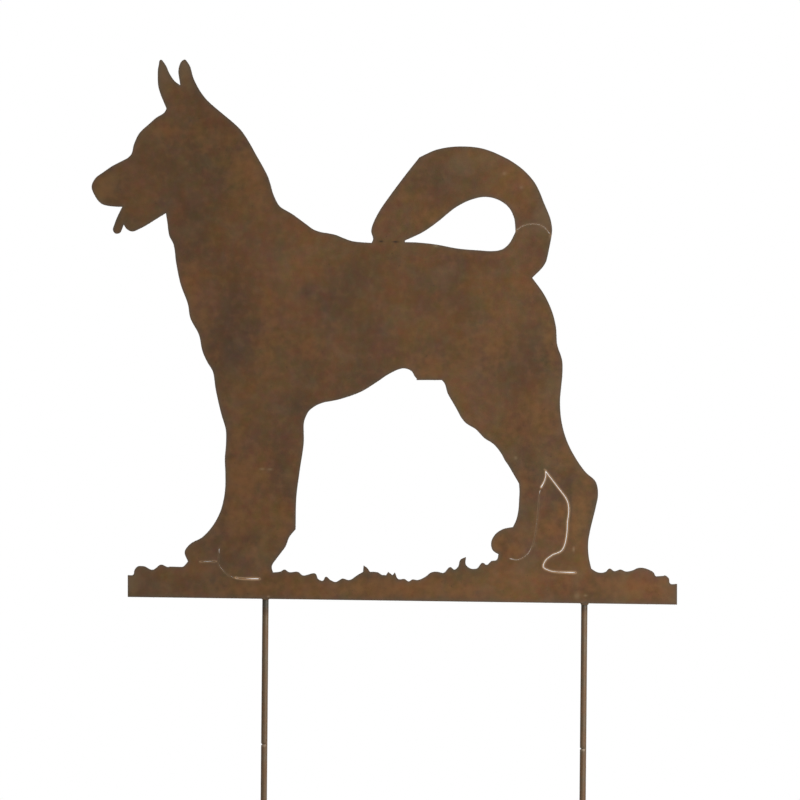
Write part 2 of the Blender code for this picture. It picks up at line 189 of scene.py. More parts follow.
def rustedSheetMaterial():
    made, tree, shader = newMaterial("rusted sheet steel, flame cut")
    spec = sheetRust
    place = add(tree, "ShaderNodeTexCoord").outputs["Object"]
    fields = {name: add(tree, "ShaderNodeAttribute", attribute_name=name).outputs["Fac"]
              for name in ("wall", "cloud", "pale", "bloom", "heat", "rim", "lip", "speck", "nick")}
    noises = {}
    for name, (size, detail, roughness, distortion, *_) in spec["patterns"].items():
        noises[name] = add(tree, "ShaderNodeTexNoise", {
            "Vector": place, "Scale": perMetre(size), "Detail": detail, "Roughness": roughness,
            "Distortion": distortion})

    # Ground colour, from brown to warmer brown, then tinted a little by each pattern
    warmer = add(tree, "ShaderNodeMapRange", {
        "Value": noises["broad"], "From Min": spec["warmFrom"][0], "From Max": spec["warmFrom"][1]})
    ground = add(tree, "ShaderNodeMix", {
        0: warmer, 6: linear(spec["brown"]), 7: linear(spec["warmBrown"])}, data_type="RGBA")
    for name, (*_, strength, warmShare, plumShare) in spec["patterns"].items():
        tint = noises[name]
        channels = add(tree, "ShaderNodeSeparateColor", {0: noises[name].outputs["Color"]}).outputs
        for channel, tones, share in (
                (channels[2], "coolToWarm", warmShare), (channels[1], "oliveToPlum", plumShare)):
            turn = add(tree, "ShaderNodeMapRange", {
                "Value": channel, "From Min": noiseLow, "From Max": noiseHigh})
            tone = add(tree, "ShaderNodeMix", {
                0: turn, 6: linear(spec[tones][0]), 7: linear(spec[tones][1])}, data_type="RGBA")
            tint = add(tree, "ShaderNodeMix", {0: share, 6: tint, 7: tone}, data_type="RGBA")
        ground = add(tree, "ShaderNodeMix", {
            0: strength, 6: ground, 7: tint}, data_type="RGBA", blend_type="SOFT_LIGHT", clamp_factor=False)

    # Dark clouds, one of them a painted shadow along the wide cut, pale stretches and orange blooms
    for field, pattern, start, strength, colour, blend in spec["softFields"]:
        edge = add(tree, "ShaderNodeMath", {
            0: noises[pattern], 1: spec["fieldBreak"], 2: fields[field]}, operation="MULTIPLY_ADD")
        mask = add(tree, "ShaderNodeMapRange", {
            "Value": edge, "From Min": start, "From Max": spec["fieldFull"], "To Max": strength})
        ground = add(tree, "ShaderNodeMix", {
            0: mask, 6: ground, 7: linear(spec[colour])}, data_type="RGBA", blend_type=blend)

    # Small marks on top, in turn: grey where the weld's heat bleached the rust, painted shade along every cut
    # edge, the wall's thinner rust, painted highlight on the narrow cuts' lips, pits, and specks, one of them
    # a painted highlight
    lipBreak = add(tree, "ShaderNodeMapRange", {
        "Value": noises["fine"], "From Min": noiseLow, "From Max": noiseHigh,
        "To Min": spec["lipBreak"][0], "To Max": spec["lipBreak"][1]})
    pits = add(tree, "ShaderNodeTexVoronoi", {
        "Vector": place, "Scale": perMetre(spec["pitSpacing"]), "Randomness": 1.0}, feature="F1")
    pitSize = add(tree, "ShaderNodeSeparateColor", {0: pits.outputs["Color"]})
    pitReach = add(tree, "ShaderNodeMath", {
        0: pitSize, 1: 2 * spec["pitRadius"] / spec["pitSpacing"]}, operation="MULTIPLY")
    pitMask = add(tree, "ShaderNodeMapRange", {
        "Value": pits.outputs["Distance"], "From Min": pitReach, "From Max": 0.0,
        "To Max": spec["pitStrength"]})
    for mark, share, colour in (
            (fields["heat"], noises["mottle"], "heatGrey"),
            (fields["rim"], spec["rimStrength"], "rim"),
            (fields["wall"], spec["wallStrength"], "cutWall"),
            (fields["lip"], lipBreak, "lip"),
            (pitMask, 1.0, "pit"),
            (fields["speck"], 1.0, "lightSpeck"),
            (fields["nick"], 1.0, "pit")):
        mask = add(tree, "ShaderNodeMath", {0: mark, 1: share}, operation="MULTIPLY", use_clamp=True)
        ground = add(tree, "ShaderNodeMix", {
            0: mask, 6: ground, 7: linear(spec[colour])}, data_type="RGBA")

    # Relief: grain and flaking on the faces, drag lines across the cut walls
    relief = 0.0
    for name, share in spec["reliefShares"].items():
        pattern = pitMask if name == "pits" else noises[name]
        relief = add(tree, "ShaderNodeMath", {0: pattern, 1: share, 2: relief}, operation="MULTIPLY_ADD")
    surface = add(tree, "ShaderNodeBump", {
        "Strength": 1.0, "Distance": spec["reliefDepth"] * mm, "Height": relief})
    run = add(tree, "ShaderNodeUVMap", uv_map="cutRun")
    lines = add(tree, "ShaderNodeMapping", {
        "Vector": run, "Scale": (perMetre(spec["dragSpacing"]), perMetre(spec["dragLength"]), 1.0)})
    drag = add(tree, "ShaderNodeTexNoise", {"Vector": lines, "Scale": 1.0, "Detail": 2.0})
    dragDepth = add(tree, "ShaderNodeMath", {0: drag, 1: fields["wall"]}, operation="MULTIPLY")
    edge = add(tree, "ShaderNodeBump", {
        "Strength": 1.0, "Distance": spec["dragDepth"] * mm, "Height": dragDepth, "Normal": surface})
    rough = add(tree, "ShaderNodeMapRange", {
        "Value": noises["mottle"], "From Min": noiseLow, "From Max": noiseHigh,
        "To Min": spec["roughness"][1], "To Max": spec["roughness"][0]})
    join(tree, shader, {
        "Base Color": ground, "Roughness": rough, "Specular IOR Level": spec["specular"], "Normal": edge})
    return made


# Rusted steel rod: cold-drawn round bar. The eye gets a thin brown film over grey metal, a little
# shinier than the sheet, with lines along the bar and a dark scale where the weld heated it.
rodRust = {
    "brown": "#5C4A32",
    "warmBrown": "#64482C",
    "greyMetal": "#6B6150",
    "heated": "#4A3722",
    "scale": "#403B30",
    # worn: bare metal with a painted highlight, where the open joint's chamfer catches the light
    "wornHighlight": "#B3A08A",
    "noises": {             # size in millimetres, detail, roughness
        "patch": (14, 4.0, 0.5),
        "grain": (1.2, 4.0, 0.7),
        "fine": (0.35, 4.0, 0.7)},
    "warmFrom": (0.38, 0.62),
    "lineWidth": 0.5,
    "lineLength": 30,
    "lineRelief": 0.5,
    "scaleBreak": 0.5,
    # What covers the brown in turn: field, where it starts, where it is full, strength, colour
    "coats": (
        ("lines", 0.52, 0.70, 0.50, "greyMetal"), ("scale", 0.25, 0.70, 0.95, "heated"),
        ("scale", 0.75, 1.15, 0.95, "scale"), ("wornHighlight", 0.0, 1.0, 1.0, "wornHighlight")),
    "grainSum": (0.65, 1.35),
    "shade": (0.70, 1.30),  # how far the grain darkens and lightens it
    "reliefDepth": 0.06,
    "roughness": (0.42, 0.62),
    "metallic": 0.25,
}


def rustedRodMaterial():
    made, tree, shader = newMaterial("rusted drawn steel rod")
    spec = rodRust
    place = add(tree, "ShaderNodeTexCoord").outputs["Object"]
    noises = {}
    for name, (size, detail, roughness) in spec["noises"].items():
        noises[name] = add(tree, "ShaderNodeTexNoise", {
            "Vector": place, "Scale": perMetre(size), "Detail": detail, "Roughness": roughness})
    stretched = add(tree, "ShaderNodeMapping", {
        "Vector": place, "Scale": (1.0, 1.0, spec["lineWidth"] / spec["lineLength"])})
    lines = add(tree, "ShaderNodeTexNoise", {
        "Vector": stretched, "Scale": perMetre(spec["lineWidth"]), "Detail": 2.0})
    warmer = add(tree, "ShaderNodeMapRange", {
        "Value": noises["patch"], "From Min": spec["warmFrom"][0], "From Max": spec["warmFrom"][1]})
    ground = add(tree, "ShaderNodeMix", {
        0: warmer, 6: linear(spec["brown"]), 7: linear(spec["warmBrown"])}, data_type="RGBA")

    # In turn: grey metal along the lines, two steps of scale from the weld's heat, bare worn metal with a
    # painted highlight
    fields = {name: add(tree, "ShaderNodeAttribute", attribute_name=name).outputs["Fac"]
              for name in ("scale", "wornHighlight")}
    fields["lines"] = lines
    fields["scale"] = add(tree, "ShaderNodeMath", {
        0: noises["grain"], 1: spec["scaleBreak"], 2: fields["scale"]}, operation="MULTIPLY_ADD")
    for field, low, high, most, colour in spec["coats"]:
        mask = add(tree, "ShaderNodeMapRange", {
            "Value": fields[field], "From Min": low, "From Max": high, "To Max": most})
        ground = add(tree, "ShaderNodeMix", {
            0: mask, 6: ground, 7: linear(spec[colour])}, data_type="RGBA")
    shade = add(tree, "ShaderNodeMath", {0: noises["grain"], 1: noises["fine"]}, operation="ADD")
    shade = add(tree, "ShaderNodeMapRange", {
        "Value": shade, "From Min": spec["grainSum"][0], "From Max": spec["grainSum"][1],
        "To Min": spec["shade"][0], "To Max": spec["shade"][1]})
    ground = add(tree, "ShaderNodeVectorMath", {0: ground, "Scale": shade}, operation="SCALE")
    rough = add(tree, "ShaderNodeMapRange", {
        "Value": noises["patch"], "From Min": noiseLow, "From Max": noiseHigh,
        "To Min": spec["roughness"][0], "To Max": spec["roughness"][1]})
    relief = add(tree, "ShaderNodeMath", {
        0: lines, 1: spec["lineRelief"], 2: shade}, operation="MULTIPLY_ADD")
    bump = add(tree, "ShaderNodeBump", {
        "Strength": 1.0, "Distance": spec["reliefDepth"] * mm, "Height": relief})
    join(tree, shader, {
        "Base Color": ground, "Roughness": rough, "Metallic": spec["metallic"], "Normal": bump})
    return made


# Weld metal: laid by an arc and rusted since. The eye gets small dark brown ripples and beads.
weldRust = {
    "dark": "#4A3B2B",
    "light": "#6A5035",
    "patchSize": 3.0,       # millimetres
    "reliefDepth": 0.06,
    "roughness": 0.7,
    "metallic": 0.2,
}


def weldMetalMaterial():
    made, tree, shader = newMaterial("rusted weld metal")
    spec = weldRust
    place = add(tree, "ShaderNodeTexCoord").outputs["Object"]
    patch = add(tree, "ShaderNodeTexNoise", {
        "Vector": place, "Scale": perMetre(spec["patchSize"]), "Detail": 4.0})
    ground = add(tree, "ShaderNodeMix", {
        0: patch, 6: linear(spec["dark"]), 7: linear(spec["light"])}, data_type="RGBA")
    bump = add(tree, "ShaderNodeBump", {
        "Strength": 1.0, "Distance": spec["reliefDepth"] * mm, "Height": patch})
    join(tree, shader, {
        "Base Color": ground, "Roughness": spec["roughness"], "Metallic": spec["metallic"], "Normal": bump})
    return made


sheetFinish = rustedSheetMaterial()
rodFinish = rustedRodMaterial()
weldFinish = weldMetalMaterial()
print("materials made")


# The dog's sheet, with smooth cut edges, eased rims, slight waviness and shallow corrosion relief.
# Patches are pixels of the photograph: centre, half width, half height, strength.
sheet = {
    "step": 1.5 * mm,               # along the cut edges
    "cornerTurn": math.radians(25),
    "narrowCornerTurn": math.radians(80),
    "turnPerStep": math.radians(12),
    "tightSpacing": 0.1 * mm,       # closer points than this are thinned out
    "mitreLimit": 0.55,             # lower lets a sharp corner's inset reach further
    "rimProfile": ((0.18, 0.0), (0.09, 0.02), (0.025, 0.08), (0.0, 0.22)),  # inset, depth, in mm
    "wallRows": (0.75, 1.25),       # depth, in mm
    "lattice": 2.5 * mm,
    "latticeJitter": 0.12,
    "edgeRows": (0.7 * mm, 1.6 * mm),
    "rowFree": 0.92,                # of its inset, which a row keeps from any other edge
    "latticeFree": 2.0 * mm,
    # At specks and nicks, in their half sizes: clear of the lattice, filled finer, and points in each
    "markClear": 1.8,
    "markReach": 1.6,
    "markPoints": 2.2,
    "markFree": 0.324 * mm,
    "rimWidth": 2.2 * mm,
    "rimFall": 1.3,
    "rimUnderLip": 0.7,             # how much of the rim's painted shade a lip's painted highlight hides
    "ringRust": 0.3,                # the wall's rust on the rings next to the faces
    "relief": 0.05 * mm,
    "reliefSize": 9 * mm,
    "reliefNoise": (0.8, 2.0, 3),   # roughness, step and number of its layers
    "backPlace": 5.0,               # where in the noise the back lies
    "warp": 0.56 * mm,
    "warpSize": 170 * mm,
    "warpPlace": (3.1, 0, 8.4),     # where in the noise the sheet lies
    "flatBelow": 30 * mm,           # stays true where the stakes are welded
    "warpGrowsOver": 120 * mm,
    "outlineWaviness": 0.035 * mm,
    "narrowWaviness": 0.014 * mm,
    "waveSize": 2.2 * mm,
    "wavePlace": 7.0,
    "weldHeat": 13 * mm,
    "heatFall": 1.2,
    "clouds": (
        (237, 329, 24, 60, 1.25), (169, 172, 24, 24, 0.8), (215, 185, 22, 24, 0.7), (190, 225, 20, 32, 0.9),
        (346, 303, 26, 38, 0.65), (433, 298, 34, 30, 0.55), (437, 342, 14, 13, 0.8), (385, 355, 18, 18, 0.5),
        (516, 380, 34, 34, 1.15), (440, 176, 20, 16, 0.35), (280, 463, 14, 38, 1.0), (285, 407, 34, 14, 0.8),
        (205, 584, 44, 12, 1.0), (146, 586, 20, 12, 0.9), (212, 545, 34, 26, 0.9), (558, 508, 12, 24, 0.9),
        (307, 292, 7, 7, 0.9), (250, 542, 10, 10, 1.2), (548, 560, 30, 14, 0.8), (560, 590, 30, 10, 0.6),
        (365, 285, 14, 14, 0.5), (486, 262, 26, 10, 0.4), (130, 195, 16, 8, 0.4), (302, 318, 14, 18, 0.7),
        (360, 325, 62, 52, 0.65), (238, 405, 28, 60, 0.55), (527, 415, 32, 38, 0.7), (226, 556, 34, 20, 0.85),
        # The cloud at (570.6, 510) is painted shadow: a thin dark line along the right side of the wide cut
        (195, 555, 16, 12, 0.5), (570.6, 510, 1.5, 15, 1.6), (160, 208, 14, 10, 0.9), (250, 553, 12, 10, 0.5),
        (264, 190, 12, 14, 0.5), (280, 290, 14, 12, 0.5), (532, 400, 16, 12, 0.9), (275, 492, 12, 10, 0.4),
        (280, 313, 10, 20, 0.7), (490, 405, 44, 16, 0.5), (335, 335, 14, 12, 0.5), (590, 500, 6, 12, 0.3),
        (290, 490, 12, 24, 1.0), (279, 311, 9, 24, 0.85), (505, 402, 18, 14, 0.6), (250, 552, 14, 8, 0.5)),
    "blooms": (
        (246, 168, 18, 20, 0.8), (263, 194, 14, 12, 0.7), (189, 311, 10, 38, 0.7), (267, 333, 11, 34, 0.3),
        (276, 338, 8, 8, 0.7), (267, 357, 8, 8, 0.6), (241, 477, 20, 22, 0.8), (237, 520, 12, 14, 0.7),
        (285, 525, 9, 20, 0.7), (424, 364, 18, 12, 0.5), (485, 351, 20, 20, 0.6), (538, 420, 20, 18, 0.7),
        (581, 503, 10, 20, 0.8), (560.7, 510.7, 7, 9, 0.9), (553, 528, 9, 8, 0.9), (575, 523, 6, 10, 0.9),
        (515, 551, 8, 6, 1.0), (390, 588, 80, 9, 0.9), (625, 587, 56, 9, 0.6), (524, 176, 14, 12, 0.6),
        (106, 189, 13, 12, 0.7), (167, 133, 12, 12, 0.6), (432, 218, 14, 8, 0.7), (403, 190, 8, 10, 0.6),
        (460, 250, 16, 8, 0.5), (575, 455, 16, 14, 0.6), (242, 588, 26, 8, 0.7), (523, 480, 10, 14, 0.6),
        (494, 542, 10, 12, 0.6), (553, 341, 10, 20, 0.8), (213, 529, 8, 12, 0.5), (203, 325, 9, 22, 0.6),
        (237, 440, 8, 22, 0.6), (203, 137, 14, 14, 0.5), (310, 348, 12, 12, 0.5),
        (587, 477, 8, 14, 0.8), (250, 550, 10, 10, 0.4)),
    "pale": (
        (184, 66, 9, 17, 1.0), (163, 68, 8, 20, 1.0), (190, 86, 14, 10, 0.6), (162, 88, 10, 12, 0.6),
        (131, 578, 10, 14, 0.8), (673, 598, 10, 10, 0.7), (545, 215, 10, 16, 0.7), (470, 162, 26, 10, 0.6),
        (108, 186, 14, 12, 0.4)),
    "specks": (
        (504.3, 173.5, 1.7, 1.5, 0.18), (521.5, 187.5, 1.7, 1.5, 0.18), (436, 245.8, 2.2, 1.2, 0.28),
        (515.7, 457.9, 1.4, 1.4, 0.22), (573.6, 549.3, 1.0, 2.0, 0.30), (585.5, 595.5, 1.6, 0.9, 0.25),
        # The speck at (268.5, 596.5) is a painted highlight on the left weld bead, just above the strip's
        # lower edge
        (577, 596, 2.6, 3.0, 0.20), (268.5, 596.5, 1.3, 0.8, 0.35), (262, 469, 2.4, 1.1, 0.22),
        (270, 469.2, 2.6, 1.1, 0.20)),
    "nicks": ((381, 241.3, 1.7, 0.7, 1.0), (395.3, 241.8, 2.6, 0.8, 1.0)),
    "nickDepth": 0.3 * mm,
    # Narrow cuts: the width up to which one counts, how far each wall leans in, and the strength of the
    # painted highlight on its lips
    "narrowCuts": ((0.7 * mm, 0.175 * mm, 0.27), (1.8 * mm, 0.49 * mm, 0.62)),
    "mostLean": 0.58,               # of the cut's width, where slag all but closes it at the back
    "lipWidth": 0.55 * mm,
    "lipFall": 1.5,
    # Painted highlight on the lips of a few more cuts
    "lips": ((515.8, 230.8, 1.4, 1.2, 0.30), (550.6, 235.6, 1.0, 1.8, 0.35), (234.4, 577.6, 1.2, 0.8, 0.40)),
    "slag": (
        (538.5, 505, 10, 24, 0.07), (534, 535, 10, 16, 0.07), (219, 556, 6, 16, 0.06), (228, 574, 8, 6, 0.05),
        (208.5, 561.5, 14, 3, 0.12), (249, 578.4, 26, 4, 0.33), (237, 577.8, 3, 2, 0.38),
        (536, 226, 16, 6, 0.035), (573, 573, 16, 4, 0.29),
        (518, 229, 4, 4, 0.03), (524, 557, 5, 4, 0.04), (512, 559, 5, 3, 0.02)),
    "dullLips": (
        (538.5, 508, 10, 22, 0.35), (534, 535, 10, 16, 0.35), (219, 556, 5, 14, 0.5), (228, 574, 10, 8, 0.4),
        (208, 561.5, 12, 3, 0.6)),
    # Ends of the stretches of outline that the photograph shows straight, up to 1.5 mm off the solids
    "straight": (
        ((190.3, 318.0), (198.9, 334.8)), ((198.9, 334.8), (201.6, 348.0)),
        ((416.7, 380.1), (441.7, 380.1)),
        ((507.8, 464.5), (519.0, 483.5)), ((519.0, 483.5), (519.5, 491.0)), ((519.5, 491.0), (519.1, 500.0)),
        ((169.5, 566.7), (181.5, 566.9)), ((656.4, 576.4), (663.6, 575.9))),
    "straightReach": 4 * mm,
    "patchFall": 0.8,
    "backPatches": 30,
    "backSpans": ((100, 680), (80, 600), (10, 26), (12, 34), (0.6, 1.0)),
    "seed": 11,
}


def frontLoops(node):
    # The edges of a sheet's front face, each a loop of points (x, z) with the metal on its left.
    bm = bmesh.new()
    bm.from_mesh(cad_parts[node].data)
    bmesh.ops.remove_doubles(bm, verts=bm.verts, dist=0.001 * mm)
    bm.normal_update()
    following = {}
    for face in bm.faces:
        if face.normal.y > -0.5:
            continue
        for corner in face.loops:
            beyond = [f for f in corner.edge.link_faces if f is not face]
            if not beyond or beyond[0].normal.y > -0.5:
                following[corner.vert.index] = corner.link_loop_next.vert.index
    bm.verts.ensure_lookup_table()
    loops = []
    while following:
        start = min(following)
        loop = []
        here = start
        while here in following:
            loop.append(Vector((bm.verts[here].co.x, bm.verts[here].co.z)))
            here = following.pop(here)
        loops.append(loop)
    bm.free()
    return loops


def straightened(loop):
    # The same loop, straight where the photograph shows it straight.
    for ends in sheet["straight"]:
        start, end = (fromPhoto(*place) for place in ends)
        first = min(range(len(loop)), key=lambda i: (loop[i] - start).length)
        last = min(range(len(loop)), key=lambda i: (loop[i] - end).length)
        if max((loop[first] - start).length, (loop[last] - end).length) > sheet["straightReach"]:
            continue
        if (last - first) % len(loop) > len(loop) / 2:
            first, last, start, end = last, first, end, start
        skipped = (last - first) % len(loop) + 1
        loop = [start, end] + (loop[first:] + loop[:first])[skipped:]
    return loop


def between(a, b, start, end, t):
    return (a * (end - t) + b * (t - start)) / (end - start)


def smoothPoint(knots, times, t):
    # The point at t of the curve that runs through the two middle ones of four knots.
    once = [between(knots[n], knots[n + 1], times[n], times[n + 1], t) for n in range(3)]
    twice = [between(once[n], once[n + 1], times[n], times[n + 2], t) for n in range(2)]
    return between(twice[0], twice[1], times[1], times[2], t)


def smoothLoop(points):
    # The same loop with its stretches rounded between true corners, at a step fine enough to shade.
    count = len(points)
    narrow = meanWidth(points) < sheet["narrowCuts"][-1][0]
    sharpest = sheet["narrowCornerTurn"] if narrow else sheet["cornerTurn"]
    turns = []
    for i, point in enumerate(points):
        turns.append((point - points[i - 1]).angle(points[(i + 1) % count] - point))
    corner = [turn > sharpest for turn in turns]
    bend = [0.0 if sharp else turn for sharp, turn in zip(corner, turns)]
    result = []
    for i, start in enumerate(points):
        j = (i + 1) % count
        end = points[j]
        before = start * 2 - end if corner[i] else points[i - 1]
        after = end * 2 - start if corner[j] else points[(j + 1) % count]
        knots = (before, start, end, after)
        times = [0.0]
        for a, b in zip(knots, knots[1:]):
            times.append(times[-1] + math.sqrt((b - a).length))
        pieces = max(1, math.ceil((end - start).length / sheet["step"]),
                     math.ceil((bend[i] + bend[j]) / 2 / sheet["turnPerStep"]))
        for k in range(pieces):
            t = times[1] + (times[2] - times[1]) * k / pieces
            point = smoothPoint(knots, times, t)
            sharp = corner[i] and k == 0
            if sharp or not result or (point - result[-1]).length > sheet["tightSpacing"]:
                result.append(point)
    return result


def meanWidth(loop):
    # The width of a long narrow opening with this edge.
    area, length = 0.0, 0.0
    for a, b in zip(loop, loop[1:] + loop[:1]):
        area += a.cross(b) / 2
        length += (b - a).length
    return 2 * abs(area) / length


def inwardNormals(points):
    count = len(points)
    normals = []
    for i, point in enumerate(points):
        arriving = (point - points[i - 1]).normalized()
        leaving = (points[(i + 1) % count] - point).normalized()
        side = Vector((-arriving.y - leaving.y, arriving.x + leaving.x)).normalized()
        normals.append(side / max(sheet["mitreLimit"], side.dot(Vector((-leaving.y, leaving.x)))))
    return normals


def patchField(points, patches):
    # Strength of the hand-placed patches at each point, an array of (x, z).
    field = np.zeros(len(points))
    for u, v, halfWidth, halfHeight, strength in patches:
        centre = fromPhoto(u, v)
        dx = (points[:, 0] - centre.x) / (halfWidth * pixel)
        dz = (points[:, 1] - centre.y) / (halfHeight * pixel)
        field = np.maximum(field, strength * np.exp(-sheet["patchFall"] * (dx * dx + dz * dz)))
    return field


def backPatches():
    # The back's own patches, where the photograph doesn't reach, spread at random.
    chance = np.random.default_rng(sheet["seed"])
    return [[chance.uniform(*span) for span in sheet["backSpans"]] for _ in range(sheet["backPatches"])]


def setField(mesh, name, values):
    layer = mesh.attributes.new(name, "FLOAT", "POINT")
    layer.data.foreach_set("value", np.asarray(values, dtype=np.float32))


def cutEdge(loops):
    # The points of all loops, each with its inward normal, its run along the cut, the number of the
    # point after it, how bright its lip is and how far its wall leans in. Borders are the loops again.
    points, inward, run, following, lips, leans, borders = [], [], [], [], [], [], []
    for loop in loops:
        first = len(points)
        width = meanWidth(loop)
        lean, lip = next(((c, s) for below, c, s in sheet["narrowCuts"] if width < below), (0.0, 0.0))
        places = np.array([tuple(p) for p in loop])
        slag = patchField(places, sheet["slag"]) * mm
        leans += list(np.minimum(lean + slag, sheet["mostLean"] * width) * (lean > 0))
        lips += list(lip * (1 - patchField(places, sheet["dullLips"])))
        borders.append(list(range(first, first + len(loop))))
        waviness = sheet["narrowWaviness"] if lip else sheet["outlineWaviness"]
        length = 0.0
        for i, (point, normal) in enumerate(zip(loop, inwardNormals(loop))):
            wave = noise.noise(Vector((point.x, sheet["wavePlace"], point.y)) / sheet["waveSize"])
            points.append(point + normal * wave * waviness)
            inward.append(normal)
            run.append(length)
            length += (loop[(i + 1) % len(loop)] - point).length
            following.append(first + (i + 1) % len(loop))
    return points, inward, run, following, lips, leans, borders


def edgeTree(points, following):
    # Finds the nearest place of the cut edge, with two more places between each pair of points.
    tree = KDTree(3 * len(points))
    for i, point in enumerate(points):
        step = points[following[i]] - point
        for k in range(3):
            tree.insert((*(point + step * k / 3), 0.0), i)
    tree.balance()
    return tree


def facePoints(points, inward, tree):
    # Places for a face's triangles: rows beside the edge, a lattice, and a finer one at small marks.
    inside = []
    for row in sheet["edgeRows"]:
        for point, normal in zip(points, inward):
            place = point + normal * row
            if tree.find((*place, 0.0))[2] > sheet["rowFree"] * row:
                inside.append(place)
    low, high = sheetBox
    spacing = sheet["lattice"]
    rise = 0.866 * spacing      # makes the triangles even-sided
    reach = sheet["latticeJitter"]
    marks = [(fromPhoto(u, v), Vector((halfWidth, halfHeight)) * pixel)
             for u, v, halfWidth, halfHeight, _ in sheet["specks"] + sheet["nicks"]]
    chance = np.random.default_rng(sheet["seed"])
    for r in range(int((high.z - low.z) / rise) + 2):
        for c in range(int((high.x - low.x) / spacing) + 2):
            jitter = chance.uniform(-reach, reach, 2) * spacing
            place = Vector((low.x + (c + 0.5 * (r % 2)) * spacing + jitter[0], low.z + r * rise + jitter[1]))
            if tree.find((*place, 0.0))[2] < sheet["latticeFree"]:
                continue
            if all(max(abs(place.x - centre.x) / half.x, abs(place.y - centre.y) / half.y)
                   >= sheet["markClear"] for centre, half in marks):
                inside.append(place)
    for centre, half in marks:
        fine = min(half) / sheet["markPoints"]
        across = math.ceil(half.x * sheet["markReach"] / fine)
        up = math.ceil(half.y * sheet["markReach"] / fine)
        for i in range(-across, across + 1):
            for j in range(-up, up + 1):
                place = centre + Vector(((i + 0.5 * (j % 2)) * fine, j * fine))
                if tree.find((*place, 0.0))[2] > sheet["markFree"]:
                    inside.append(place)
    return inside


def filledFace(places, borders):
    # Triangles between the borders, with the holes left open, and the places that they use.
    holesOpen = 2
    _, _, faces, origin, _, _ = delaunay_2d_cdt(places, [], borders, holesOpen, 1e-8)
    source = [o[0] if o else None for o in origin]
    if None in source:
        raise ValueError("two cut edges cross after rounding")
    triangles = np.array([[source[i] for i in face] for face in faces if len(face) == 3])
    return triangles, np.unique(triangles)


def sheetFields(where, isBack, onWall, distance, lips):
    # What the material reads at each point of the sheet, between 0 and 1.
    isFront = ~isBack
    behind = backPatches()
    # The rim is painted shade: a dark band that fades inwards from each cut edge
    rim = np.exp(-(distance / sheet["rimWidth"]) ** sheet["rimFall"])
    # Lips carry a painted highlight along the narrow cuts' edges
    lip = lips * np.exp(-(distance / sheet["lipWidth"]) ** sheet["lipFall"])
    fields = {
        "rim": rim * (1 - sheet["rimUnderLip"] * (lips > 0)),
        "lip": np.maximum(lip, patchField(where, sheet["lips"]) * isFront),
        "nick": patchField(where, sheet["nicks"]) * isFront * ~onWall,
        "cloud": np.where(isBack, patchField(where, behind[::2]), patchField(where, sheet["clouds"])),
        "bloom": np.where(isBack, patchField(where, behind[1::2]), patchField(where, sheet["blooms"])),
        "pale": patchField(where, sheet["pale"]) * isFront,
        "speck": patchField(where, sheet["specks"]) * isFront,
        "heat": np.zeros(len(where)),
    }
    for rodNode, _ in stakes["nodes"]:
        top = stakeAxis(rodNode)[0]
        away = (where - np.array((top.x, top.z / 2))) / sheet["weldHeat"]
        fields["heat"] = np.maximum(fields["heat"], np.exp(-sheet["heatFall"] * (away ** 2).sum(1)))
    return fields


def sheetPush(where, isBack, onWall, fields):
    # How far each point is pushed back: a slight bend of the whole sheet, corrosion and the nicks.
    grows = np.clip((where[:, 1] - sheet["flatBelow"]) / sheet["warpGrowsOver"], 0, 1)
    push = fields["nick"] * sheet["nickDepth"]
    for i, (x, z) in enumerate(where):
        bend = noise.noise(Vector((x, 0.0, z)) / sheet["warpSize"] + Vector(sheet["warpPlace"]))
        push[i] += bend * sheet["warp"] * grows[i]
        if not onWall[i]:
            side = Vector((x, sheet["backPlace"] * isBack[i], z))
            rough = noise.fractal(side / sheet["reliefSize"], *sheet["reliefNoise"])
            push[i] += rough * sheet["relief"] * (1 - fields["rim"][i])
    return push


